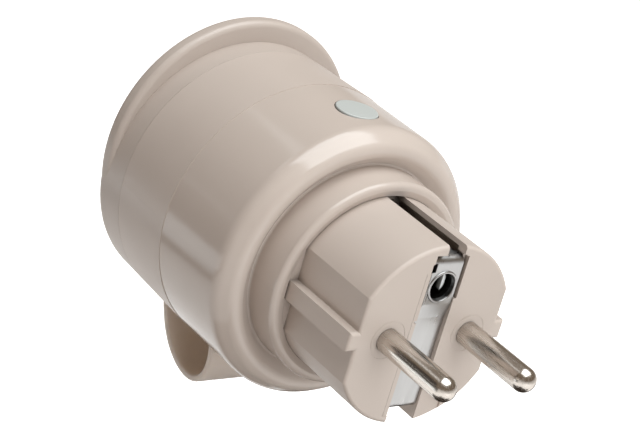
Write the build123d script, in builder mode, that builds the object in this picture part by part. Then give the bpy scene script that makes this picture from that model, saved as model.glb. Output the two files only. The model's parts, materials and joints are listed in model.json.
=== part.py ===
from build123d import *
import os
from math import cos, radians, sin, tan

os.makedirs("parts", exist_ok=True)

# Outdoor smart plug, in millimetres. +Y runs along the pins towards the wall and +Z is up.
# The origin lies on the plug face, midway between the pins, so negative y is inside the body.
# Left and right are as seen from the wall, so the left pin is the one at +X.

# Clearances
touch_gap = 0.02
slide_gap = 0.05
fit_gap = 0.2

# Pins
pin_pitch = 19.0
pin_radius = 2.4
pin_length = 19.0
pin_neck = 0.1
pin_undercut = 0.35
pin_root_grip = 0.4
pin_root_cover = 0.6
pin_root_length = 10.0
rivet_radius = 1.5
rivet_head_radius = 2.2
rivet_head = 0.8

# Plug block, from its face back to the collar
block_radius = 18.55
block_stands = 18.9
guide_depth = 2.15
guide_wall = 1.0
tab_drop = 0.25
tab_half_height = 1.9
face_thickness = 5.2
face_edge_round = 0.7
cavity_wall = 2.35
boss_wall = 1.4

# Earth groove, side slots and earth parts
groove_half_width = 3.55
groove_centre = 0.1
groove_widening = 0.6
groove_wide_bottom = 7.6
groove_step_z = 6.8
slot_centre = -0.75
slot_half_width = 2.1
slot_depth = 3.95
slot_height = 2.0
slot_undercut = 1.8
slot_lip = 1.2
lower_lip = 1.4
slot_run_in = 3.0
strip_thickness = 0.8
strip_bend = 1.0
plate_drop = 0.3
plate_step = 0.6
plate_inset = 0.3
corner_gap_width = 1.3
corner_gap_depth = 4.5
corner_gap_height = 1.8
step_inset = 1.15
step_depth = 0.15
line_width = 0.2
notch_size = 0.5
facet_depth = 0.4
leg_play = 0.2
front_leg_length = 20.0
earth_hole_z = 10.0
earth_hole_radius = 2.75
earth_rim_width = 0.55
earth_rim_rise = 0.25
earth_lip = 0.9
sleeve_wall = 0.4
sleeve_relief = 0.25
sleeve_length = 12.9

# Rear housing: collar, rim, shoulder and shell
ring_width = 1.35
ring_depth = 0.6
collar_wall = 1.5
collar_round = 1.0
collar_length = 8.1
rim_width = 4.0
rim_rise = 3.4
rim_round = 2.2
shoulder_width = 3.2
shoulder_drop = 0.7
shoulder_round = 4.0
shell_wall = 2.2
inner_drop = 1.4
rear_length = 20.0
edge_round = 0.05

# Flange, main board and their screws
flange_play = 0.5
flange_thickness = 1.6
board_thickness = 1.6
seal_section = 0.5
board_screw_inset = 1.7
board_screw_radius = 0.95
board_screw_depth = 1.8
board_screw_head = 1.2
board_screw_head_radius = 1.9
long_screw_inset = 1.95
long_screw_radius = 1.25
long_screw_reach = 8.5
long_screw_head = 1.6
long_screw_head_radius = 2.2

# Socket half: front housing, satin sleeve, well and base
sleeve_step = 0.1
sleeve_draft = 1.6
sleeve_run = 16.55
seam_gap = 0.05
front_wall = 1.7
front_inset = 2.0
spigot_length = 4.0
spigot_wall = 2.3
band_height = 1.0
band_length = 1.4
mouth_stands = 5.45
well_radius = 19.7
well_wall = 1.9
well_depth = 17.5
base_thickness = 2.3
well_flange = 1.6
flange_overlap = 1.6
gasket_thickness = 0.5
seat_thickness = 1.5
pin_hole_radius = 2.75
rib_depth = 2.8
rib_low = 2.4
rib_high = 8.4
clip_half_width = 2.0
clip_thickness = 0.8
clip_bump = 2.1
axle_radius = 2.0

# Shutter, carrier and contacts, in order behind the base
shutter_gap = 1.0
shutter_thickness = 1.6
carrier_gap = 0.3
carrier_plate = 2.4
carrier_wall = 0.8
carrier_tube_radius = 4.6
contact_radius = 3.3
contact_bore = 2.35
contact_base = 0.8
spring_radius = 3.4
spring_wire = 0.19

# Cap, lip and strap
skirt_gap = 0.45
cap_gap = 1.0
cap_thickness = 2.8
cap_end_round = 2.0
lip_length = 4.2
lip_inset = 0.15
lip_rise = 3.8
lip_round = 1.2
cap_seal_height = 0.9
cap_seal_width = 3.7
strap_half_width = 8.0
strap_thickness = 1.4
strap_drop = 11.0

# Button and the small board under it
button_place = 11.4
button_radius = 4.2
button_gap = 0.15
button_rise = 0.15
button_flange_width = 1.1
button_flange = 0.9
button_stem_radius = 1.5
button_travel = 0.5
pocket_play = 0.3
pocket_wall = 1.0
boss_length = 3.8
retainer_thickness = 0.6
small_board_drop = 4.2
small_board_thickness = 1.2
small_board_half = 9.0
switch_height = 2.0
switch_half = 3.0
plunger_radius = 1.1

# Tall parts on the main board: heights and half widths
relay_height = 14.1
capacitor_height = 11.0
varistor_radius = 5.2
fuse_radius = 1.6
transformer_height = 9.5
bulk_radius = 4.0
bulk_height = 11.5
small_bulk_radius = 3.15
small_bulk_height = 9.0
choke_radius = 3.5
choke_height = 9.0
chip_height = 1.6

# Radii worked out from the sizes above
pin_x = pin_pitch / 2
flat_x = block_radius - guide_depth
tab_x = block_radius - tab_drop
cavity_radius = block_radius - cavity_wall
block_hole = block_radius + slide_gap
ring_radius = block_radius + ring_width
collar_radius = ring_radius + collar_wall
rim_radius = collar_radius + rim_width
body_radius = rim_radius + shoulder_width
shell_inner = body_radius - shell_wall
flange_radius = shell_inner - flange_play
seal_radius = (block_radius + collar_radius) / 2 + 0.4
sleeve_radius = body_radius + sleeve_step
front_radius = body_radius - front_inset
front_inner = front_radius - front_wall
spigot_radius = shell_inner - 0.1
spigot_inner = spigot_radius - spigot_wall
band_radius = front_radius + band_height
well_outer = well_radius + well_wall
well_flange_radius = front_radius - flange_overlap
well_flange_width = well_flange_radius - well_outer
seat_radius = well_outer + 0.59 * well_flange_width
gasket_inner = well_outer + 0.65 * well_flange_width
gasket_outer = well_outer + 0.97 * well_flange_width
cap_inner = front_radius + skirt_gap
lip_radius = sleeve_radius - lip_inset
long_screw_circle = block_radius - long_screw_inset
base_post_radius = long_screw_radius + 1.05
carrier_radius = long_screw_circle - long_screw_head_radius - 1.0
shutter_radius = carrier_radius - carrier_wall - 0.25
sleeve_outer = earth_hole_radius + sleeve_wall + sleeve_relief
pocket_radius = button_radius + button_flange_width + pocket_play

# Places along Y worked out from the sizes above
plate_upper_y = -plate_drop - strip_thickness / 2
plate_lower_y = plate_upper_y - plate_step
groove_upper_y = -plate_drop - strip_thickness
groove_lower_y = groove_upper_y - plate_step
bend_pocket_y = groove_upper_y - strip_bend - 0.8
root_end_y = -pin_root_length
busbar_y = root_end_y - strip_thickness
collar_y = -block_stands
ring_y = collar_y - ring_depth
guide_end_y = ring_y - 0.3
root_y = collar_y - collar_length
rim_y = root_y + rim_rise
shoulder_y = root_y - shoulder_drop
inner_face_y = root_y - inner_drop
flange_y = inner_face_y - flange_thickness
board_y = flange_y - board_thickness
crease_y = root_y - rear_length
band_y = crease_y - band_length
spigot_y = crease_y + spigot_length
seam_y = crease_y - sleeve_run
mouth_y = seam_y - mouth_stands
flange_back_y = mouth_y + well_flange
gasket_y = flange_back_y + gasket_thickness
floor_y = mouth_y + well_depth
base_y = floor_y + base_thickness
head_seat_y = floor_y + long_screw_head + 0.3
shutter_y = base_y + shutter_gap
carrier_y = shutter_y + shutter_thickness + carrier_gap
carrier_back_y = carrier_y + carrier_plate
contact_end_y = board_y - 1.6
cap_floor_y = mouth_y - cap_gap
cap_end_y = cap_floor_y - cap_thickness
lip_y = cap_end_y + lip_length
button_y = crease_y + button_place

# Heights worked out from the sizes above
slot_floor = block_radius - slot_depth
slot_ceiling = slot_floor + slot_height
leg_z = slot_floor + slot_height / 2
cavity_half_height = slot_floor - 1.8
cavity_half_width = flat_x - guide_wall
groove_left = groove_centre + groove_half_width
groove_right = groove_centre - groove_half_width
pocket_ceiling = shell_inner - 0.5
boss_bottom = shell_inner - boss_length
small_board_z = boss_bottom - small_board_drop
small_board_top = small_board_z + small_board_thickness
small_board_y = button_y - pocket_radius - 5.8
button_flange_z = pocket_ceiling - fit_gap - button_flange
stem_z = boss_bottom - 0.2
plug_z = small_board_top + 0.8

pins = [(pin_x, 0), (-pin_x, 0)]


def round_places(circle, angles):
    """Places (x, z) on a circle at each angle in degrees."""
    return [(circle * cos(radians(angle)), circle * sin(radians(angle))) for angle in angles]


long_screws = round_places(long_screw_circle, (45, 225))
board_screws = round_places(flange_radius - board_screw_inset, (22, 158, 250, 290))


def sleeve_r(y):
    """Outer radius of the satin half, which tapers towards its end."""
    return sleeve_radius - (crease_y - y) * tan(radians(sleeve_draft))


def keep(piece, label):
    """Name a finished piece and write its file."""
    piece.part.label = label
    export_step(piece.part, f"parts/{label}.step")


def turned(corners, x=0, z=0, mode=Mode.ADD):
    """Solid turned about a line along Y. Each corner is (radius, y, fillet)."""
    with BuildSketch(Plane.XY.offset(z)) as section:
        with BuildLine():
            points = [(x + radius, y) for radius, y, _ in corners]
            FilletPolyline(*points, radius=[corner[2] for corner in corners], close=True)
        make_face()
    revolve(section.sketch, axis=Axis((x, 0, z), (0, 1, 0)), mode=mode)


def turned_slot(inner, outer, start, end):
    """Groove cut round the main axis between two radii and two places."""
    turned([(inner, start, 0), (outer, start, 0), (outer, end, 0), (inner, end, 0)], mode=Mode.SUBTRACT)


def ring(radius, y, thickness):
    """Ring of round section about the main axis."""
    with BuildSketch(Plane.XY) as section:
        with Locations((radius, y)):
            Circle(thickness)
    revolve(section.sketch, axis=Axis.Y)


def column(radius, start, end, places=((0, 0),), mode=Mode.ADD):
    """Round column along Y from start down to end, at each (x, z)."""
    with BuildSketch(Plane.XZ.offset(-start)) as section:
        with Locations(*places):
            Circle(radius)
    extrude(section.sketch, amount=start - end, mode=mode)


def stub(radius, bottom, top, mode=Mode.ADD):
    """Round column along Z on the button's own line."""
    with BuildSketch(Plane.XY.offset(bottom)) as section:
        with Locations((0, button_y)):
            Circle(radius)
    extrude(section.sketch, amount=top - bottom, mode=mode)


def slab(x, y, z, mode=Mode.ADD):
    """Box between pairs of limits."""
    with Locations(((x[0] + x[1]) / 2, (y[0] + y[1]) / 2, (z[0] + z[1]) / 2)):
        Box(x[1] - x[0], y[1] - y[0], z[1] - z[0], mode=mode)


def about(centre, half):
    """Pair of limits either side of a centre."""
    return (centre - half, centre + half)


def both(low, high):
    """The same pair of limits on the plus side and on the minus side."""
    return ((low, high), (-high, -low))


# Rear housing: the glossy shell with its shoulder, the collar and the button's boss
with BuildPart() as rear_housing:
    turned([
        (body_radius, crease_y, 0),
        (body_radius, shoulder_y, shoulder_round),
        (rim_radius, rim_y, rim_round),
        (collar_radius, root_y, 0.3),
        (collar_radius, collar_y, min(collar_round, 0.7 * collar_wall)),
        (ring_radius, collar_y, 0.4),
        (block_hole, ring_y, 0),
        (block_hole, inner_face_y, 0),
        (shell_inner, inner_face_y, 0.4),
        (shell_inner, crease_y, 0),
    ])
    stub(pocket_radius + pocket_wall, boss_bottom, shell_inner + shell_wall / 2)
    stub(pocket_radius, boss_bottom, pocket_ceiling, Mode.SUBTRACT)
    stub(button_radius + button_gap, boss_bottom, body_radius + 1, Mode.SUBTRACT)
    screw_hole_y = inner_face_y + board_screw_depth + 0.4
    column(board_screw_radius, screw_hole_y, inner_face_y, board_screws, Mode.SUBTRACT)
keep(rear_housing, "rear_housing")

# Plug block: the moulded face with guide recesses, a groove for the earth plate and a flange
with BuildPart() as plug_block:
    with BuildSketch(Plane.XZ):
        Circle(block_radius)
        for side in (1, -1):
            with Locations((side * block_radius, 0)):
                Rectangle(2 * guide_depth, 2 * block_radius, mode=Mode.SUBTRACT)
            with Locations((side * (tab_x - guide_depth), 0)):
                Rectangle(2 * guide_depth, 2 * tab_half_height)
    extrude(amount=-guide_end_y)
    fillet(plug_block.faces().sort_by(Axis.Y)[-1].edges(), face_edge_round)
    column(block_radius, guide_end_y, flange_y)
    column(flange_radius, inner_face_y, flange_y)
    with BuildSketch(Plane.XZ.offset(-flange_y)):
        Circle(cavity_radius)
        Rectangle(2 * cavity_half_width, 2 * cavity_half_height, mode=Mode.INTERSECT)
        with Locations(*long_screws):
            Circle(long_screw_radius + 1.55, mode=Mode.SUBTRACT)
    extrude(amount=flange_y + face_thickness, mode=Mode.SUBTRACT)
    pin_root_radius = pin_radius + pin_root_grip
    column(pin_root_radius + boss_wall, -face_thickness, root_end_y, pins)
    earth_boss_y = groove_upper_y - sleeve_length - 0.5
    column(sleeve_outer + 1.0, -face_thickness, earth_boss_y, [(0, earth_hole_z)])
    column(pin_root_radius, -pin_root_cover, root_end_y, pins, Mode.SUBTRACT)
    column(pin_radius - pin_undercut, 0, -pin_root_cover, pins, Mode.SUBTRACT)
    column(sleeve_outer, 0, earth_boss_y, [(0, earth_hole_z)], Mode.SUBTRACT)
    column(long_screw_radius, flange_y + long_screw_reach + 1.0, flange_y, long_screws, Mode.SUBTRACT)
    column(board_screw_radius + fit_gap, inner_face_y, flange_y, board_screws, Mode.SUBTRACT)
    # Groove in the face: shallow under the hole's plate, deeper below, wider at the top right
    groove = (groove_right, groove_left)
    slab(groove, (groove_upper_y, 1), (-block_radius, slot_floor + 0.4), Mode.SUBTRACT)
    slab(groove, (bend_pocket_y, 1), (slot_floor - 0.3, slot_ceiling), Mode.SUBTRACT)
    slab(groove, (groove_lower_y, 0), (-block_radius, groove_step_z), Mode.SUBTRACT)
    wide = (groove_right - groove_widening, slot_centre + slot_half_width)
    slab(wide, (groove_upper_y, 1), (groove_wide_bottom, slot_ceiling - 0.3), Mode.SUBTRACT)
    # Shallow step along the groove's left edge, a gap at the plate's corner and two small notches
    step_x = groove_left + step_inset
    step_z = (-slot_floor - slot_height, slot_floor - 1.6)
    slab((groove_left - 1, step_x), (-step_depth, 1), step_z, Mode.SUBTRACT)
    slab((step_x - line_width, step_x), (-step_depth - 0.5, 1), step_z, Mode.SUBTRACT)
    corner_gap_x = (groove_left + plate_inset - corner_gap_width, groove_left + plate_inset)
    corner_gap_z = about(slot_floor - 0.65, corner_gap_height / 2)
    slab(corner_gap_x, (-corner_gap_depth, 1), corner_gap_z, Mode.SUBTRACT)
    for notch_z in (3.1, -1.05):
        notch_x = (groove_left - notch_size, groove_left + notch_size)
        slab(notch_x, (groove_lower_y, 1), about(notch_z, notch_size / 2), Mode.SUBTRACT)
    # Low three-cornered facet between the foot of the groove and the rim
    with BuildSketch(Plane.XZ):
        with BuildLine():
            Polyline(
                (groove_right, -11.7),
                (-8.6, -14.7),
                (-8.6, -block_radius),
                (groove_right, -block_radius),
                close=True,
            )
        make_face()
    extrude(amount=facet_depth, mode=Mode.SUBTRACT)
    # Faint ring round each pin
    with BuildSketch(Plane.XZ):
        with Locations(*pins):
            Circle(pin_radius + 1.5)
            Circle(pin_radius + 1.2, mode=Mode.SUBTRACT)
    extrude(amount=0.05, mode=Mode.SUBTRACT)
    # Slots that lead the two earth legs back, open at the sides in front of the collar
    slot = about(slot_centre, slot_half_width)
    for low, high in both(slot_floor, slot_ceiling):
        slab(slot, (flange_y, groove_lower_y), (low, high), Mode.SUBTRACT)
    for low, high in both(slot_floor, block_radius + 1):
        slab(slot, (guide_end_y, 1), (low, high), Mode.SUBTRACT)
    slab(slot, (collar_y - slot_run_in, 0), (slot_floor, block_radius + 1), Mode.SUBTRACT)
    undercut = (slot[0] - slot_undercut, slot[1])
    undercut_top = block_radius - slot_lip
    undercut_y = (collar_y - slot_run_in, -face_edge_round - 1.5)
    slab(undercut, undercut_y, (slot_floor, undercut_top), Mode.SUBTRACT)
    # The lower slot is as wide as the groove, but for a lip at the left of its mouth
    slab(groove, (guide_end_y, 1), (-undercut_top, -slot_floor), Mode.SUBTRACT)
    lower_mouth = (groove_right, groove_left - lower_lip)
    slab(lower_mouth, (guide_end_y, 1), (-block_radius - 1, -slot_floor), Mode.SUBTRACT)
    # Groove for the block's seal and room for the button's boss
    turned_slot(
        seal_radius - seal_section - slide_gap, seal_radius + seal_section + slide_gap,
        inner_face_y - 2 * seal_section, inner_face_y + 1,
    )
    boss_half_width = (pocket_radius + pocket_wall) * 0.8
    slab(about(0, boss_half_width), (flange_y, inner_face_y), (boss_bottom - 0.3, body_radius), Mode.SUBTRACT)
keep(plug_block, "plug_block")

# Seal between the plug block's flange and the rear housing
with BuildPart() as block_seal:
    ring(seal_radius, inner_face_y - seal_section, seal_section)
keep(block_seal, "block_seal")

# Pins: a round tip, a thicker root moulded into the block and a riveted tail
pin_corners = [
    (0, pin_length, 0),
    (pin_radius, pin_length, pin_radius - 0.05),
    (pin_radius, pin_neck, 0),
    (pin_radius - pin_undercut, pin_neck, 0),
    (pin_radius - pin_undercut, -pin_root_cover, 0),
    (pin_root_radius, -pin_root_cover, 0),
    (pin_root_radius, root_end_y, 0),
    (rivet_radius, root_end_y, 0),
    (rivet_radius, busbar_y, 0),
    (rivet_head_radius, busbar_y, 0),
    (rivet_head_radius, busbar_y - rivet_head, 0.3),
    (0, busbar_y - rivet_head, 0),
]
with BuildPart() as left_pin:
    turned(pin_corners, x=pin_x)
keep(left_pin, "left_pin")

with BuildPart() as right_pin:
    turned(pin_corners, x=-pin_x)
keep(right_pin, "right_pin")

# Busbars: a plate riveted on the pin and a strip that runs back through the main board
bar_inner = pin_x + 3.1
bar_outer = bar_inner + strip_thickness


def busbar(side):
    plate = sorted((side * (pin_x - 2.6), side * bar_outer))
    strip = sorted((side * bar_inner, side * bar_outer))
    slab(plate, (busbar_y, root_end_y), (-2.6, 2.6))
    slab(strip, (flange_y, root_end_y), (-2.6, 2.6))
    slab(strip, (board_y - 0.6, flange_y), (-1.0, 1.0))
    column(rivet_radius, root_end_y, busbar_y, [(side * pin_x, 0)], Mode.SUBTRACT)


with BuildPart() as left_busbar:
    busbar(1)
keep(left_busbar, "left_busbar")

with BuildPart() as right_busbar:
    busbar(-1)
keep(right_busbar, "right_busbar")

# Earth strip: one bent strip over the face, with a leg back into each slot
leg_half_width = slot_half_width - leg_play
with BuildPart() as earth_strip:
    with BuildSketch(Plane.YZ.offset(slot_centre - leg_half_width)):
        with BuildLine():
            FilletPolyline(
                (board_y - 0.6, leg_z),
                (plate_upper_y, leg_z),
                (plate_upper_y, groove_step_z - 0.2),
                (plate_lower_y, groove_step_z / 2),
                (plate_lower_y, -leg_z),
                (-front_leg_length, -leg_z),
                radius=strip_bend,
            )
        trace(line_width=strip_thickness)
    extrude(amount=2 * leg_half_width)
    with BuildSketch(Plane.YZ.offset(groove_right + slide_gap)):
        with BuildLine():
            FilletPolyline(
                (bend_pocket_y + 0.1, leg_z),
                (plate_upper_y, leg_z),
                (plate_upper_y, groove_step_z - 0.2),
                (plate_lower_y, groove_step_z / 2),
                (plate_lower_y, -leg_z),
                (bend_pocket_y + 0.1, -leg_z),
                radius=strip_bend,
            )
        trace(line_width=strip_thickness)
    extrude(amount=2 * groove_half_width - plate_inset)
    slab(corner_gap_x, (groove_lower_y, 1), corner_gap_z, Mode.SUBTRACT)
    column(earth_hole_radius, 0, groove_upper_y - 0.4, [(0, earth_hole_z)], Mode.SUBTRACT)
    rim_top_y = earth_rim_rise - plate_drop
    rim_outer = earth_hole_radius + earth_rim_width
    turned([
        (earth_hole_radius, plate_upper_y, 0),
        (rim_outer, plate_upper_y, 0),
        (rim_outer, rim_top_y, earth_rim_width * 0.45),
        (earth_hole_radius, rim_top_y, earth_rim_width * 0.45),
    ], z=earth_hole_z)
keep(earth_strip, "earth_strip")

# Earth sleeve: a tube behind the hole with a spring leaf across its far side
with BuildPart() as earth_sleeve:
    sleeve_end_y = groove_upper_y - sleeve_length
    turned([
        (sleeve_outer, groove_upper_y, 0),
        (sleeve_outer, sleeve_end_y, 0),
        (sleeve_outer - sleeve_wall, sleeve_end_y, 0),
        (sleeve_outer - sleeve_wall, groove_upper_y - earth_lip, 0),
        (earth_hole_radius, groove_upper_y - earth_lip, 0),
        (earth_hole_radius, groove_upper_y, 0),
    ], z=earth_hole_z)
    leaf_y = groove_upper_y - earth_lip - 0.4
    with BuildSketch(Plane.XZ.offset(-leaf_y)):
        with Locations((0.8 - earth_hole_radius, earth_hole_z)):
            Rectangle(0.7, 3 * earth_hole_radius)
        with Locations((0, earth_hole_z)):
            Circle(sleeve_outer - sleeve_wall / 2, mode=Mode.INTERSECT)
    extrude(amount=leaf_y - sleeve_end_y - 1.0)
keep(earth_sleeve, "earth_sleeve")

# Main board: a round board on the flange, notched for the button's boss
with BuildPart() as main_board:
    column(flange_radius, flange_y, board_y)
    notch_half_width = pocket_radius + pocket_wall + 0.6
    slab(about(0, notch_half_width), (board_y, flange_y), (boss_bottom - 0.4, body_radius), Mode.SUBTRACT)
    column(board_screw_radius + fit_gap, flange_y, board_y, board_screws, Mode.SUBTRACT)
    column(long_screw_radius + fit_gap, flange_y, board_y, long_screws, Mode.SUBTRACT)
    for low, high in both(bar_inner - 0.1, bar_outer + 0.1):
        slab((low, high), (board_y, flange_y), (-1.1, 1.1), Mode.SUBTRACT)
    leg_hole = about(slot_centre, leg_half_width + 0.1)
    slab(leg_hole, (board_y, flange_y), about(leg_z, strip_thickness / 2 + 0.1), Mode.SUBTRACT)
keep(main_board, "main_board")

# Four small screws that hold the board and the plug block's flange to the rear housing
with BuildPart() as board_screw_set:
    for place in board_screws:
        column(board_screw_head_radius, board_y, board_y - board_screw_head, [place])
        column(board_screw_radius, inner_face_y + board_screw_depth, board_y, [place])
        column(0.8, board_y - board_screw_head / 2, board_y - board_screw_head, [place], Mode.SUBTRACT)
keep(board_screw_set, "board_screws")

# Two long screws from the well's floor, which draw the socket base to the plug block
with BuildPart() as housing_screws:
    for place in long_screws:
        column(long_screw_head_radius, head_seat_y, head_seat_y - long_screw_head, [place])
        column(long_screw_radius, flange_y + long_screw_reach, head_seat_y, [place])
        column(0.9, head_seat_y - long_screw_head / 2, head_seat_y - long_screw_head, [place], Mode.SUBTRACT)
keep(housing_screws, "housing_screws")

# Front housing: the carrier tube of the socket half, under the satin sleeve
with BuildPart() as front_housing:
    turned([
        (spigot_inner, spigot_y, 0),
        (spigot_radius, spigot_y, 0.4),
        (spigot_radius, crease_y, 0),
        (band_radius, crease_y, 0),
        (band_radius, band_y, 0),
        (front_radius, band_y, 0),
        (front_radius, mouth_y, 0.5),
        (well_flange_radius + 0.15, mouth_y, 0),
        (well_flange_radius + 0.15, gasket_y, 0),
        (seat_radius, gasket_y, 0),
        (seat_radius, gasket_y + seat_thickness, 0),
        (front_inner, gasket_y + seat_thickness + 1.4, 0),
        (front_inner, band_y - 0.6, 0),
        (spigot_inner, band_y + 0.4, 0),
    ])
    turned_slot(spigot_radius - 1.05, spigot_radius + 1, spigot_y - 2.7, spigot_y - 1.4)
keep(front_housing, "front_housing")

# Seal in the spigot's groove
with BuildPart() as housing_seal:
    ring(spigot_radius - 0.5, spigot_y - 2.05, 0.55)
keep(housing_seal, "housing_seal")

# Satin sleeve over the front housing, from the crease to the seam
with BuildPart() as front_sleeve:
    turned([
        (band_radius + slide_gap, crease_y, 0),
        (sleeve_radius, crease_y, 0),
        (sleeve_r(seam_y), seam_y + seam_gap / 2, edge_round),
        (front_radius + slide_gap, seam_y + seam_gap / 2, 0),
        (front_radius + slide_gap, band_y - slide_gap, 0),
        (band_radius + slide_gap, band_y - slide_gap, 0),
    ])
keep(front_sleeve, "front_sleeve")

# Socket well: the tube with its mouth flange, guide ribs and slots for the earth clips
clip_slot = clip_half_width + 0.4
clip_inner = well_radius - 0.2
with BuildPart() as socket_well:
    turned([
        (well_radius, floor_y, 0),
        (well_outer, floor_y, 0),
        (well_outer, flange_back_y, 0),
        (well_flange_radius, flange_back_y, 0),
        (well_flange_radius, mouth_y, 0.3),
        (well_radius, mouth_y, 0.8),
    ])
    for low, high in both(well_radius - rib_depth, well_radius + 0.5):
        for foot, head in both(rib_low, rib_high):
            slab((low, high), (mouth_y + 1.5, floor_y), (foot, head))
    for low, high in both(clip_inner - 1, well_outer + 1):
        slab(about(0, clip_slot), (mouth_y + 5.0, floor_y), (low, high), Mode.SUBTRACT)
keep(socket_well, "socket_well")

# Socket base: the well's floor with pin holes, screw posts, the shutter's axle and board rails
with BuildPart() as socket_base:
    column(well_outer, base_y, floor_y)
    column(long_screw_head_radius + 0.9, base_y + 1.2, base_y, long_screws)
    column(base_post_radius, board_y, base_y, long_screws)
    column(axle_radius, base_y + 4.0, base_y)
    rail_gap = small_board_half + slide_gap
    for low, high in both(small_board_half - 0.9, small_board_half + 0.9):
        slab((low, high), (base_y, base_y + 3.7), (small_board_z - 1.0, small_board_top + 0.8))
    rail_slot_z = (small_board_z - slide_gap, small_board_top + slide_gap)
    slab((-rail_gap, rail_gap), (small_board_y - slide_gap, base_y + 4.7), rail_slot_z, Mode.SUBTRACT)
    column(pin_hole_radius, base_y, floor_y, pins, Mode.SUBTRACT)
    column(long_screw_radius + 0.15, board_y, floor_y, long_screws, Mode.SUBTRACT)
    column(long_screw_head_radius + fit_gap, head_seat_y, floor_y, long_screws, Mode.SUBTRACT)
    for low, high in both(clip_inner, well_outer + 1):
        slab(about(0, clip_slot), (floor_y, base_y), (low, high), Mode.SUBTRACT)
keep(socket_base, "socket_base")

# Flat seal between the well's flange and the front housing
with BuildPart() as socket_gasket:
    turned([
        (gasket_inner, gasket_y, 0),
        (gasket_outer, gasket_y, 0),
        (gasket_outer, flange_back_y, 0),
        (gasket_inner, flange_back_y, 0),
    ])
keep(socket_gasket, "socket_gasket")

# Earth bracket: a bar across the base's back, with a spring clip up each side of the well
bar_back_y = base_y + clip_thickness
clip_z = clip_inner + fit_gap + clip_thickness / 2
with BuildPart() as socket_earth_bracket:
    clip_outer = clip_z + clip_thickness / 2
    slab(about(0, clip_half_width), (base_y, bar_back_y), about(0, clip_outer))
    column(axle_radius + 3.0, bar_back_y, base_y)
    for side in (1, -1):
        with BuildSketch(Plane.YZ.offset(-clip_half_width)):
            with BuildLine():
                FilletPolyline(
                    (bar_back_y, side * clip_z),
                    (floor_y - 1.0, side * clip_z),
                    (floor_y - 7.0, side * (clip_z - clip_bump)),
                    (floor_y - 10.0, side * clip_z),
                    (floor_y - 11.9, side * (clip_z + 0.3)),
                    radius=0.9,
                )
            trace(line_width=clip_thickness)
        extrude(amount=2 * clip_half_width)
    column(axle_radius + 0.15, bar_back_y + 1, base_y - 1, mode=Mode.SUBTRACT)
keep(socket_earth_bracket, "socket_earth_bracket")

# Jumper from the main board to the earth bracket
with BuildPart() as earth_jumper:
    jumper_z = leg_z + strip_thickness / 2 + fit_gap
    slab(about(0, clip_half_width), (bar_back_y, board_y), (jumper_z, jumper_z + strip_thickness))
keep(earth_jumper, "earth_jumper")

# Shutter: two wings over the pin holes, turning on the base's axle
with BuildPart() as shutter:
    with BuildSketch(Plane.XZ.offset(-shutter_y - shutter_thickness)):
        Circle(shutter_radius)
        Rectangle(3 * shutter_radius, 2 * pin_hole_radius + 0.9, mode=Mode.INTERSECT)
        Circle(axle_radius + 2.2)
        Circle(axle_radius + 0.08, mode=Mode.SUBTRACT)
    extrude(amount=shutter_thickness)
keep(shutter, "shutter")

# Spring that returns the shutter
with BuildPart() as shutter_spring:
    spring_start = (0, carrier_y + 0.15, 0)
    with BuildLine():
        coil = Helix(
            pitch=2.4 * spring_wire, height=5 * spring_wire, radius=spring_radius,
            center=spring_start, direction=(0, 1, 0),
        )
    with BuildSketch(Plane(origin=coil @ 0, z_dir=coil % 0)):
        Circle(spring_wire)
    sweep()
keep(shutter_spring, "shutter_spring")

# Contact carrier: a bar behind the shutter with a tube round each contact
with BuildPart() as contact_carrier:
    with BuildSketch(Plane.XZ.offset(-carrier_back_y)):
        Circle(carrier_radius)
        Rectangle(3 * carrier_radius, 2 * (carrier_tube_radius + 1.8), mode=Mode.INTERSECT)
    extrude(amount=carrier_plate)
    carrier_inner = carrier_radius - carrier_wall
    turned([
        (carrier_inner, carrier_y + 0.3, 0),
        (carrier_radius, carrier_y + 0.3, 0),
        (carrier_radius, base_y, 0),
        (carrier_inner, base_y, 0),
    ])
    column(carrier_tube_radius, board_y - 0.8, carrier_back_y, pins)
    column(contact_radius + 0.15, board_y, carrier_back_y + 0.1, pins, Mode.SUBTRACT)
    column(pin_hole_radius, carrier_back_y + 0.1, carrier_y, pins, Mode.SUBTRACT)
    column(spring_radius + 0.7, carrier_y + 1.4, carrier_y, mode=Mode.SUBTRACT)
    for low, high in both(carrier_inner - 1, carrier_radius + 1):
        slab(about(0, clip_half_width + 0.3), (base_y, bar_back_y + fit_gap), (low, high), Mode.SUBTRACT)
keep(contact_carrier, "contact_carrier")


def contact(x):
    """Split spring socket with a solid base and a blade that stands on the main board."""
    mouth = carrier_back_y + fit_gap
    column(contact_radius, contact_end_y, mouth, [(x, 0)])
    column(contact_bore, contact_end_y - contact_base, mouth, [(x, 0)], Mode.SUBTRACT)
    slit = (mouth, contact_end_y - contact_base - 2.0)
    slab(about(x, 0.3), slit, about(0, contact_radius + 0.2), Mode.SUBTRACT)
    slab(about(x, contact_radius + 0.2), slit, (-0.3, 0.3), Mode.SUBTRACT)
    slab(about(x, 1.6), (contact_end_y, board_y), (-0.4, 0.4))


with BuildPart() as left_contact:
    contact(pin_x)
keep(left_contact, "left_contact")

with BuildPart() as right_contact:
    contact(-pin_x)
keep(right_contact, "right_contact")

# Relay, which switches the socket
tube_clear = carrier_tube_radius + 1.8
with BuildPart() as relay:
    slab((-9, 11.5), (board_y - relay_height, board_y), (-tube_clear - 10.8, -tube_clear - 0.5))
    fillet(relay.edges(), 0.4)
keep(relay, "relay")

# Film capacitor across the line
outboard_x = pin_x + carrier_tube_radius + 1.8
with BuildPart() as film_capacitor:
    slab((-outboard_x - 5, -outboard_x), (board_y - capacitor_height, board_y), (-6.5, 6.5))
    fillet(film_capacitor.edges(), 0.4)
keep(film_capacitor, "film_capacitor")

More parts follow.
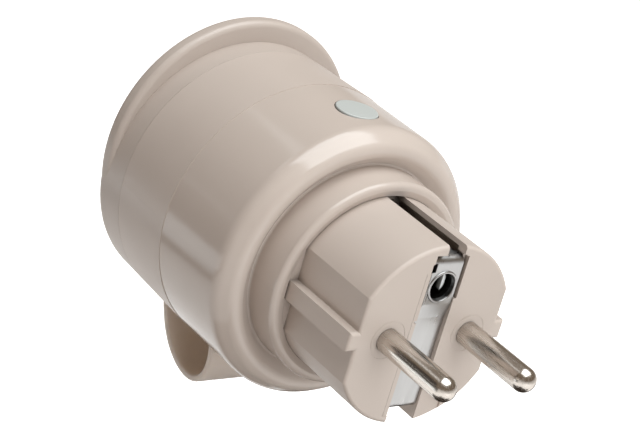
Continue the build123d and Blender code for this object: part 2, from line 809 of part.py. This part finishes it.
# Varistor, a disc standing on its edge
with BuildPart() as varistor:
    with BuildSketch(Plane.YZ.offset(outboard_x)):
        with Locations((board_y - varistor_radius, 0)):
            Circle(varistor_radius)
    extrude(amount=4)
    fillet(varistor.edges(), 0.8)
    slab(about(outboard_x + 2, 0.4), (board_y - 1, board_y), (-3.0, 3.0))
keep(varistor, "varistor")

# Fuse resistor, lying along X
with BuildPart() as fuse_resistor:
    with BuildSketch(Plane.YZ.offset(-5)):
        with Locations((board_y - fuse_radius, -tube_clear - 14.0)):
            Circle(fuse_radius)
    extrude(amount=10)
keep(fuse_resistor, "fuse_resistor")

# Switching transformer with its ferrite core
with BuildPart() as transformer:
    slab((-1, 9.0), (board_y - transformer_height, board_y), (7.9, 14.7))
    slab((1, 7.0), (board_y - transformer_height + 0.5, board_y - 0.6), (7.0, 15.6))
keep(transformer, "transformer")


def can(radius, height, x, z):
    """Round capacitor standing on the main board."""
    turned([
        (0, board_y, 0),
        (radius, board_y, 0.3),
        (radius, board_y - height, 0.5),
        (0, board_y - height, 0),
    ], x, z)


# Two bulk capacitors, standing on the board
with BuildPart() as bulk_capacitors:
    can(bulk_radius, bulk_height, -8, 11.4)
    can(small_bulk_radius, small_bulk_height, -15.8, 12.2)
keep(bulk_capacitors, "bulk_capacitors")

# Choke on the plug side of the board
with BuildPart() as choke:
    turned([
        (0, flange_y + choke_height, 0),
        (choke_radius, flange_y + choke_height, 0.4),
        (choke_radius, flange_y + choke_height - 1.2, 0),
        (choke_radius - 0.5, flange_y + choke_height - 1.2, 0),
        (choke_radius - 0.5, flange_y + 1.2, 0),
        (choke_radius, flange_y + 1.2, 0),
        (choke_radius, flange_y, 0),
        (0, flange_y, 0),
    ], 0, -6)
keep(choke, "choke")

# Flat parts on the main board
with BuildPart() as converter_chip:
    slab((-9, -4), (flange_y, flange_y + chip_height), (3, 7))
keep(converter_chip, "converter_chip")

with BuildPart() as metering_chip:
    slab((-20.5, -16.5), (board_y - chip_height, board_y), (-12.3, -8))
keep(metering_chip, "metering_chip")

with BuildPart() as current_shunt:
    slab((14, 20), (board_y - chip_height, board_y), (-10.5, -8.5))
keep(current_shunt, "current_shunt")

# Small wireless board, standing on the main board under the button
with BuildPart() as wireless_board:
    slab(about(0, small_board_half), (small_board_y, board_y), (small_board_z, small_board_top))
keep(wireless_board, "wireless_board")

with BuildPart() as wireless_module:
    module_y = small_board_y + 0.5
    slab((-6, 6), (module_y, module_y + 7), (small_board_top, small_board_top + 0.8))
    slab((-5.5, 5.5), (module_y + 1.9, module_y + 6.5), (small_board_top + 0.8, small_board_top + 2.2))
keep(wireless_module, "wireless_module")

with BuildPart() as tact_switch:
    switch_top = small_board_top + switch_height
    slab(about(0, switch_half), about(button_y, switch_half), (small_board_top, switch_top))
    stub(plunger_radius + 0.15, plug_z - button_travel - 0.1, switch_top, Mode.SUBTRACT)
keep(tact_switch, "tact_switch")

with BuildPart() as switch_plunger:
    stub(plunger_radius, plug_z, stem_z)
keep(switch_plunger, "switch_plunger")

with BuildPart() as status_led:
    led = (switch_half + 0.6, switch_half + 2.2)
    slab(led, about(button_y, 0.5), (small_board_top, small_board_top + 0.7))
keep(status_led, "status_led")

# Button: a pale lens with a flange that stops it and a stem that reaches the switch
with BuildPart() as button_lens:
    stub(button_radius, button_flange_z, body_radius + button_rise)
    fillet(button_lens.faces().sort_by(Axis.Z)[-1].edges(), 0.25)
    stub(button_radius + button_flange_width, button_flange_z, button_flange_z + button_flange)
    stub(button_stem_radius, stem_z, button_flange_z)
keep(button_lens, "button_lens")

retainer_z = boss_bottom + retainer_thickness
with BuildPart() as button_seal:
    stub(pocket_radius - slide_gap, retainer_z, button_flange_z - button_travel - 0.3)
    stub(button_stem_radius + 0.1, boss_bottom, button_flange_z, Mode.SUBTRACT)
keep(button_seal, "button_seal")

with BuildPart() as button_retainer:
    stub(pocket_radius - slide_gap, boss_bottom, retainer_z)
    stub(button_stem_radius + 0.5, boss_bottom - 1, retainer_z + 1, Mode.SUBTRACT)
keep(button_retainer, "button_retainer")

# Socket cap: a skirt over the front housing and a round end whose lip rises at the top
cap_start_y = seam_y - seam_gap / 2
cap_seal_inner = well_radius + 0.9
with BuildPart() as socket_cap:
    turned([
        (0, cap_end_y, 0),
        (sleeve_r(cap_end_y), cap_end_y, cap_end_round),
        (sleeve_r(cap_start_y), cap_start_y, edge_round),
        (0, cap_start_y, 0),
    ])
    turned([
        (0, cap_end_y, 0),
        (lip_radius, cap_end_y, cap_end_round - 0.1),
        (lip_radius, lip_y, lip_round),
        (0, lip_y, 0),
    ], z=lip_rise)
    column(cap_inner, cap_start_y + 1, cap_floor_y, mode=Mode.SUBTRACT)
    turned_slot(cap_seal_inner, cap_seal_inner + cap_seal_width, cap_floor_y - 0.4, cap_floor_y + 0.5)
keep(socket_cap, "socket_cap")

# Face seal in the cap
with BuildPart() as cap_seal:
    seal_top = cap_floor_y + cap_seal_height
    turned([
        (cap_seal_inner + slide_gap, cap_floor_y - 0.4, 0),
        (cap_seal_inner + cap_seal_width - slide_gap, cap_floor_y - 0.4, 0),
        (cap_seal_inner + cap_seal_width - 0.4, seal_top, 0.3),
        (cap_seal_inner + 0.4, seal_top, 0.3),
    ])
keep(cap_seal, "cap_seal")

# Strap: a bent strip under the body that joins the cap to the sleeve
strap_foot_y = crease_y - 3.2
strap_cap_y = cap_end_y + 4.0
strap_length = strap_foot_y - strap_cap_y
strap_z = -body_radius


def along(share, drop):
    """Point of the strap, at a share of the way from the cap's foot and a drop below the body."""
    return (strap_cap_y + share * strap_length, strap_z - drop * strap_drop)


with BuildPart() as cap_strap:
    with BuildSketch(Plane.YZ.offset(-strap_half_width)):
        with BuildLine():
            Spline(
                along(0.00, -0.20),
                along(0.10, 0.18),
                along(0.27, 0.62),
                along(0.54, 0.94),
                along(0.82, 1.01),
                along(1.01, 0.85),
                along(1.09, 0.53),
                along(1.07, 0.16),
                along(1.00, -0.20),
            )
        trace(line_width=strap_thickness)
    extrude(amount=2 * strap_half_width)
    fillet(cap_strap.edges().filter_by(lambda edge: edge.length > 3 * strap_drop), 0.45)
    turned([
        (0, crease_y, 0),
        (sleeve_r(crease_y) + touch_gap, crease_y, 0),
        (sleeve_r(cap_end_y) + touch_gap, cap_end_y, 0),
        (0, cap_end_y, 0),
    ], mode=Mode.SUBTRACT)
keep(cap_strap, "cap_strap")
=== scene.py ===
import json
from math import radians

import bmesh
import bpy
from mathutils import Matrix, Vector


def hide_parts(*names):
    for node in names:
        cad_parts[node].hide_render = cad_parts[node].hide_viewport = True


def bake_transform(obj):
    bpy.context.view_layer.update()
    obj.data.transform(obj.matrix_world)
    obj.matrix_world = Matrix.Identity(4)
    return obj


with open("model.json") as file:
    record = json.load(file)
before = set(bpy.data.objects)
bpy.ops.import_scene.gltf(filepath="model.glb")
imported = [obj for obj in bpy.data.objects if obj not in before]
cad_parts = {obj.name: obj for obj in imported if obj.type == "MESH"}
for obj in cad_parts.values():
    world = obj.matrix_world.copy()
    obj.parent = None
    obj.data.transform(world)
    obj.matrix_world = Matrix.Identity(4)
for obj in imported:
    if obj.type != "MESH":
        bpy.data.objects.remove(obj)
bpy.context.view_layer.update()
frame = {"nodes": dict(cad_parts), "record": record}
collection = bpy.context.scene.collection

# Scales of the slow changes of tone, in plastic and in metal
FLOW_SCALE = 60
CLOUD_SCALE = 150

# Painted shade in gaps is darkest at the first share of open sky, and that of metal ends at the
# second.
# The reach is in metres. The last line is the tone of the painted shade in the darkest gaps of
# plastic, as shares of its colour.
FULL_SHADE_SKY = 0.02
METAL_SHADE_CLEAR = 0.7
METAL_SHADE_REACH = 0.009
PAINTED_SHADE_TONE = (0.10, 0.07, 0.05)

# The part of the groove's right wall that stays light, without the painted shade in gaps, in
# metres
WALL_MIDDLE_Z = -0.006
WALL_HALF_HEIGHT = 0.0085
WALL_FADE = 0.002
WALL_X = -0.001


def shader(name):
    """New material with its principled shader, its node tree and a function that adds nodes."""
    material = bpy.data.materials.new(name)
    material.use_nodes = True
    tree = material.node_tree
    principled = tree.nodes["Principled BSDF"]

    def add(kind, **values):
        node = tree.nodes.new(kind)
        for key, value in values.items():
            if key in node.inputs:
                node.inputs[key].default_value = value
            else:
                setattr(node, key, value)
        return node

    return material, principled, tree.links, add


def object_coordinates(links, add, scale=(1, 1, 1)):
    """Coordinates fixed to the object, in metres times the scale."""
    coordinates = add("ShaderNodeTexCoord")
    mapping = add("ShaderNodeMapping", Scale=scale)
    links.new(coordinates.outputs["Object"], mapping.inputs["Vector"])
    return mapping.outputs["Vector"]


def noise(links, add, vector, scale, detail):
    texture = add("ShaderNodeTexNoise", Scale=scale, Detail=detail, Roughness=0.55)
    links.new(vector, texture.inputs["Vector"])
    return texture.outputs["Fac"]


def mapped(links, add, value, start, end, low=0.0, high=1.0):
    """Number that goes from low to high as the value goes from start to end."""
    node = add("ShaderNodeMapRange")
    node.inputs["From Min"].default_value = start
    node.inputs["From Max"].default_value = end
    node.inputs["To Min"].default_value = low
    node.inputs["To Max"].default_value = high
    links.new(value, node.inputs["Value"])
    return node.outputs["Result"]


def spread(links, add, factor, low, high):
    """Number that runs from low to high as the factor runs over the middle of its range."""
    return mapped(links, add, factor, 0.3, 0.7, low, high)


def blend_colours(links, add, factor, first, second):
    node = add("ShaderNodeMix", data_type="RGBA")
    links.new(factor, node.inputs["Factor"])
    node.inputs[6].default_value = (*first, 1)
    node.inputs[7].default_value = (*second, 1)
    return node.outputs[2]


def shade(colour, factor):
    return tuple(channel * factor for channel in colour)


def bump(links, add, height, strength, distance):
    node = add("ShaderNodeBump", Strength=strength, Distance=distance)
    links.new(height, node.inputs["Height"])
    return node.outputs["Normal"]


def combined(links, add, operation, first, second=None, constant=0.0):
    """The first number and the second, or a constant, joined by a math operation."""
    node = add("ShaderNodeMath", operation=operation)
    node.inputs[1].default_value = constant
    links.new(first, node.inputs[0])
    if second is not None:
        links.new(second, node.inputs[1])
    return node.outputs["Value"]


def separated(links, add):
    """The X, Y and Z of the object's coordinates, by name."""
    node = add("ShaderNodeSeparateXYZ")
    links.new(object_coordinates(links, add), node.inputs["Vector"])
    return node.outputs


def groove_wall_without_painted_shade(links, add):
    """1 on the groove's lower right wall, which light from the left reaches and where the painted
    shade in gaps is left off, and 0 elsewhere.
    """
    axis = separated(links, add)
    above_middle = combined(links, add, "SUBTRACT", axis["Z"], constant=WALL_MIDDLE_Z)
    off_middle = combined(links, add, "ABSOLUTE", above_middle)
    wall_end = WALL_HALF_HEIGHT + WALL_FADE
    lower = mapped(links, add, off_middle, WALL_HALF_HEIGHT, wall_end, 1.0, 0.0)
    right = mapped(links, add, axis["X"], WALL_X, 0.0, 1.0, 0.0)
    return combined(links, add, "MINIMUM", lower, right)


def with_painted_shade(links, add, tint, dark, reach, clear, spared=None):
    """The tint with painted shade: darker in gaps that are narrower than the reach, apart from
    the places spared.

    The tint is unchanged where the share of open sky is over the number clear.
    """
    open_sky = add("ShaderNodeAmbientOcclusion", Distance=reach)
    free_of_painted_shade = mapped(links, add, open_sky.outputs["AO"], FULL_SHADE_SKY, clear)
    if spared is not None:
        free_of_painted_shade = combined(links, add, "MAXIMUM", free_of_painted_shade, spared(links, add))
    node = add("ShaderNodeMix", data_type="RGBA")
    links.new(free_of_painted_shade, node.inputs["Factor"])
    node.inputs[6].default_value = (*dark, 1)
    links.new(tint, node.inputs[7])
    return node.outputs[2]


def moulded(name, colour, roughness, grain, depth, reach=0.003, clear=0.25, spared=None):
    """Moulded plastic: a fine surface grain, faint flow marks in the colour and in the gloss, and
    painted shade in its gaps.

    The grain is the scale of its noise, and the depth its height in metres.
    """
    material, principled, links, add = shader(name)
    vector = object_coordinates(links, add)
    flow = noise(links, add, vector, FLOW_SCALE, 2)
    speck = noise(links, add, vector, grain, 4)
    tint = blend_colours(links, add, flow, shade(colour, 0.97), shade(colour, 1.03))
    dark = tuple(channel * factor for channel, factor in zip(colour, PAINTED_SHADE_TONE))
    gloss = spread(links, add, flow, roughness * 0.9, roughness * 1.1)
    tint_with_painted_shade = with_painted_shade(links, add, tint, dark, reach, clear, spared)
    links.new(tint_with_painted_shade, principled.inputs["Base Color"])
    links.new(gloss, principled.inputs["Roughness"])
    links.new(bump(links, add, speck, 0.5, depth), principled.inputs["Normal"])
    return material


def metal(name, colour, roughness, stretch, grain, depth=0.00001):
    """Metal with a grain that a stretch draws out into fine lines, and painted shade in its gaps.
    """
    material, principled, links, add = shader(name)
    lines = noise(links, add, object_coordinates(links, add, stretch), grain, 3)
    cloud = noise(links, add, object_coordinates(links, add), CLOUD_SCALE, 2)
    tint = blend_colours(links, add, cloud, shade(colour, 0.93), colour)
    gloss = spread(links, add, lines, roughness * 0.75, roughness * 1.3)
    tint_with_painted_shade = with_painted_shade(links, add, tint, shade(colour, 0.02), METAL_SHADE_REACH, METAL_SHADE_CLEAR)
    links.new(tint_with_painted_shade, principled.inputs["Base Color"])
    links.new(gloss, principled.inputs["Roughness"])
    links.new(bump(links, add, lines, 0.3, depth), principled.inputs["Normal"])
    principled.inputs["Metallic"].default_value = 1.0
    return material


# By material slot. Plastics have name, colour, roughness, grain, depth and, where they differ,
# reach, clear and spared places of the painted shade in gaps. Metals have name, colour,
# roughness, stretch, grain and, where it differs, depth.
TAUPE = (0.520, 0.445, 0.397)
finishes = {
    "housing": moulded("gloss_taupe", TAUPE, 0.16, 2500, 0.000002, 0.003, 0.06),
    "block": moulded("matt_taupe", TAUPE, 0.42, 4000, 0.000012, 0.006, 0.42, groove_wall_without_painted_shade),
    "sleeve": moulded("satin_taupe", TAUPE, 0.38, 3500, 0.000008),
    "cap": moulded("cap_taupe", shade(TAUPE, 0.93), 0.38, 3500, 0.000008),
    "strap": moulded("strap_taupe", TAUPE, 0.45, 3000, 0.000010),
    "insert_plastic": moulded("inner_taupe", shade(TAUPE, 0.95), 0.40, 3000, 0.000010),
    "lens": moulded("frosted_lens", (0.475, 0.495, 0.48), 0.35, 1500, 0.000004),
    "carrier_plastic": moulded("off_white", (0.74, 0.72, 0.67), 0.45, 2500, 0.000010),
    "part_black": moulded("black_case", (0.02, 0.02, 0.022), 0.40, 2500, 0.000010),
    "part_blue": moulded("blue_coating", (0.03, 0.07, 0.28), 0.25, 800, 0.000010),
    "part_yellow": moulded("yellow_case", (0.66, 0.42, 0.07), 0.30, 2500, 0.000008),
    "part_grey": moulded("grey_case", (0.35, 0.36, 0.38), 0.35, 2500, 0.000008),
    "board_green": moulded("solder_mask", (0.01, 0.11, 0.04), 0.25, 1200, 0.000006),
    "seal_rubber": moulded("black_rubber", (0.015, 0.015, 0.015), 0.60, 3000, 0.000012),
    "clear_rubber": moulded("pale_rubber", (0.62, 0.62, 0.58), 0.50, 3000, 0.000010),
    "pin_nickel": metal("nickel_plate", (0.70, 0.65, 0.60), 0.24, (1, 0.04, 1), 2600, 0.00003),
    "earth_plate": metal("tinned_strip", (0.55, 0.55, 0.55), 0.34, (1, 1, 0.08), 1800),
    "spring_metal": metal("spring_strip", (0.62, 0.60, 0.56), 0.28, (1, 0.1, 1), 1800),
    "copper": metal("copper_alloy", (0.72, 0.42, 0.24), 0.28, (1, 0.1, 1), 1800),
    "screw_steel": metal("zinc_plate", (0.55, 0.56, 0.58), 0.30, (1, 1, 1), 1500),
}

# Soft rubber lets a little light through
rubber = finishes["strap"].node_tree.nodes["Principled BSDF"].inputs
rubber["Subsurface Weight"].default_value = 0.8
rubber["Subsurface Scale"].default_value = 0.006
rubber["Subsurface Radius"].default_value = (1.0, 0.9, 0.8)

# The earth sleeve has a bright leaf near its mouth. Its tube, and what lies further in, are
# painted near black as shade inside the hole.
LEAF_FRONT_Y = -0.0025
LEAF_SHADE_Y = -0.0036
LEAF_RADIUS = 0.0022
TUBE_RADIUS = 0.0025
EARTH_HOLE = (0, 0, 0.010)
material, principled, links, add = shader("sleeve_metal_painted_shade")
depth = mapped(links, add, separated(links, add)["Y"], LEAF_SHADE_Y, LEAF_FRONT_Y)
off_axis = add("ShaderNodeVectorMath", operation="DISTANCE")
off_axis.inputs[1].default_value = EARTH_HOLE
links.new(object_coordinates(links, add, (1, 0, 1)), off_axis.inputs[0])
inside = mapped(links, add, off_axis.outputs["Value"], LEAF_RADIUS, TUBE_RADIUS, 1.0, 0.0)
leaf = combined(links, add, "MULTIPLY", depth, inside)
# Painted shade: near black on the tube wall and deeper in, pale on the leaf
tint = blend_colours(links, add, leaf, (0.004, 0.004, 0.003), (0.90, 0.90, 0.89))
links.new(tint, principled.inputs["Base Color"])
principled.inputs["Roughness"].default_value = 0.6
principled.inputs["Specular IOR Level"].default_value = 0.1
finishes["earth_sleeve"] = material

for part in frame["record"]["subparts"]:
    mesh = frame["nodes"][part["node"]].data
    mesh.materials.clear()
    mesh.materials.append(finishes.get(part["node"], finishes[part["material_slot"]]))

# A copy of the flexible strap in place of the CAD strap. The real strap bends between the body
# and the cap as the cap swings open; here it keeps its shape.
strap = bpy.data.objects.new("bending_strap", frame["nodes"]["cap_strap"].data.copy())
collection.objects.link(strap)
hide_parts("cap_strap")
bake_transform(strap)


COOL_WHITE = (0.93, 0.98, 1.0)
WARM_WHITE = (1.0, 0.90, 0.84)


def area_light(name, place, target, width, height, power, colour=COOL_WHITE):
    """Rectangular soft light aimed at a target, in metres and watts."""
    light = bpy.data.lights.new(name, "AREA")
    light.color = colour
    light.shape = "RECTANGLE"
    light.size = width
    light.size_y = height
    light.energy = power
    lamp = bpy.data.objects.new(name, light)
    collection.objects.link(lamp)
    lamp.location = place
    lamp.rotation_euler = (Vector(target) - Vector(place)).to_track_quat("-Z", "Y").to_euler()
    return lamp


MIDDLE = (0, -0.035, 0)
area_light("top_softbox", (-0.03, 0.06, 0.80), MIDDLE, 0.8, 0.8, 9.3)
front = area_light("front_softbox", (-0.05, 0.75, 0.12), MIDDLE, 0.6, 0.5, 4.35)
fill = area_light("low_fill", (0.36, 0.06, -0.14), MIDDLE, 0.30, 0.16, 0.26, WARM_WHITE)
for lamp in (front, fill):
    lamp.visible_glossy = False

# Weak strips that show as light bands in the gloss plastic and in the pins
area_light("high_strip", (0.175, -0.30, 0.355), MIDDLE, 0.30, 0.045, 0.050)
area_light("low_strip", (0.162, -0.212, -0.092), (0, -0.035, -0.092), 0.40, 0.057, 0.13)
area_light("line_strip", (0.162, -0.212, 0.024), (0, -0.035, 0.024), 0.40, 0.006, 0.008)

# Faint warm light from all round, and white to the camera
WORLD_COLOUR = (1.0, 0.78, 0.58, 1)
WORLD_STRENGTH = 0.20
world = bpy.data.worlds.new("studio")
bpy.context.scene.world = world
world.use_nodes = True
nodes = world.node_tree.nodes
links = world.node_tree.links
nodes["Background"].inputs["Color"].default_value = WORLD_COLOUR
nodes["Background"].inputs["Strength"].default_value = WORLD_STRENGTH
white = nodes.new("ShaderNodeBackground")
white.inputs["Strength"].default_value = 1.0
white.inputs["Color"].default_value = (1, 1, 1, 1)
seen_by_camera = nodes.new("ShaderNodeLightPath")
choice = nodes.new("ShaderNodeMixShader")
links.new(seen_by_camera.outputs["Is Camera Ray"], choice.inputs[0])
links.new(nodes["Background"].outputs[0], choice.inputs[1])
links.new(white.outputs[0], choice.inputs[2])
links.new(choice.outputs[0], nodes["World Output"].inputs["Surface"])

# Pale floor with a low rim far away. Its glow makes it white to the camera and through clear
# parts, and shows weaker in reflections. The glow doesn't light the object.
FLOOR_Z = -0.16
FLOOR_RADIUS = 3.0
RIM_HEIGHT = 0.5
FLOOR_GLOW = 0.95
MIRRORED_SHARE = 0.6
floor_mesh = bpy.data.meshes.new("floor")
shape = bmesh.new()
bmesh.ops.create_circle(shape, cap_ends=True, segments=128, radius=FLOOR_RADIUS)
rim = [edge for edge in shape.edges if edge.is_boundary]
raised = bmesh.ops.extrude_edge_only(shape, edges=rim)["geom"]
top = [item for item in raised if isinstance(item, bmesh.types.BMVert)]
bmesh.ops.translate(shape, verts=top, vec=(0, 0, RIM_HEIGHT))
shape.to_mesh(floor_mesh)
shape.free()
floor = bpy.data.objects.new("floor", floor_mesh)
collection.objects.link(floor)
floor.location = (0, 0, FLOOR_Z)
material, principled, links, add = shader("pale_floor")
principled.inputs["Base Color"].default_value = (0.60, 0.58, 0.565, 1)
principled.inputs["Roughness"].default_value = 0.9
principled.inputs["Emission Color"].default_value = (1, 1, 1, 1)
path = add("ShaderNodeLightPath").outputs
mirrored = combined(links, add, "MULTIPLY", path["Is Glossy Ray"], constant=MIRRORED_SHARE)
seen = combined(links, add, "MAXIMUM", path["Is Camera Ray"], mirrored)
seen_through = combined(links, add, "MAXIMUM", seen, path["Is Transmission Ray"])
glow = combined(links, add, "MULTIPLY", seen_through, constant=FLOOR_GLOW)
links.new(glow, principled.inputs["Emission Strength"])
floor_mesh.materials.append(material)


def dark_card(name, place, turn, size):
    """Dark card that the camera doesn't see, for reflections and shade."""
    bpy.ops.mesh.primitive_plane_add(size=1, location=place, rotation=turn)
    card = bpy.context.object
    card.name = name
    card.scale = (*size, 1)
    card.visible_camera = False
    material, principled, _, _ = shader(name)
    principled.inputs["Base Color"].default_value = (0.03, 0.02, 0.014, 1)
    principled.inputs["Roughness"].default_value = 0.9
    card.data.materials.append(material)
    return card


# Just above the floor
CARD_Z = FLOOR_Z + 0.002
dark_card("left_card", (0.177, -0.228, -0.06), (radians(90), 0, radians(42)), (0.8, 0.20))
dark_card("back_card", (0.40, -0.36, 0.14), (radians(90), 0, radians(48)), (0.34, 0.22))
low_card = dark_card("low_card", (-0.235, -0.10, CARD_Z), (0, 0, 0), (0.29, 0.24))
low_card.visible_diffuse = False
under_card = dark_card("under_card", (0.0, 0.02, CARD_Z), (0, 0, 0), (0.22, 0.22))
for card in (low_card, under_card):
    card.visible_shadow = False

# The camera stands where the photograph was taken from
camera = bpy.data.cameras.new("camera")
camera.sensor_width = 36
camera.lens = 112.575
camera.clip_start = 0.01
camera.clip_end = 50
view = bpy.data.objects.new("camera", camera)
view.location = (0.23747, 0.22903, 0.15185)
view.rotation_euler = (radians(66.724), radians(-15.055), radians(144.612))
collection.objects.link(view)
bpy.context.scene.camera = view
bpy.context.scene.view_settings.view_transform = "Standard"
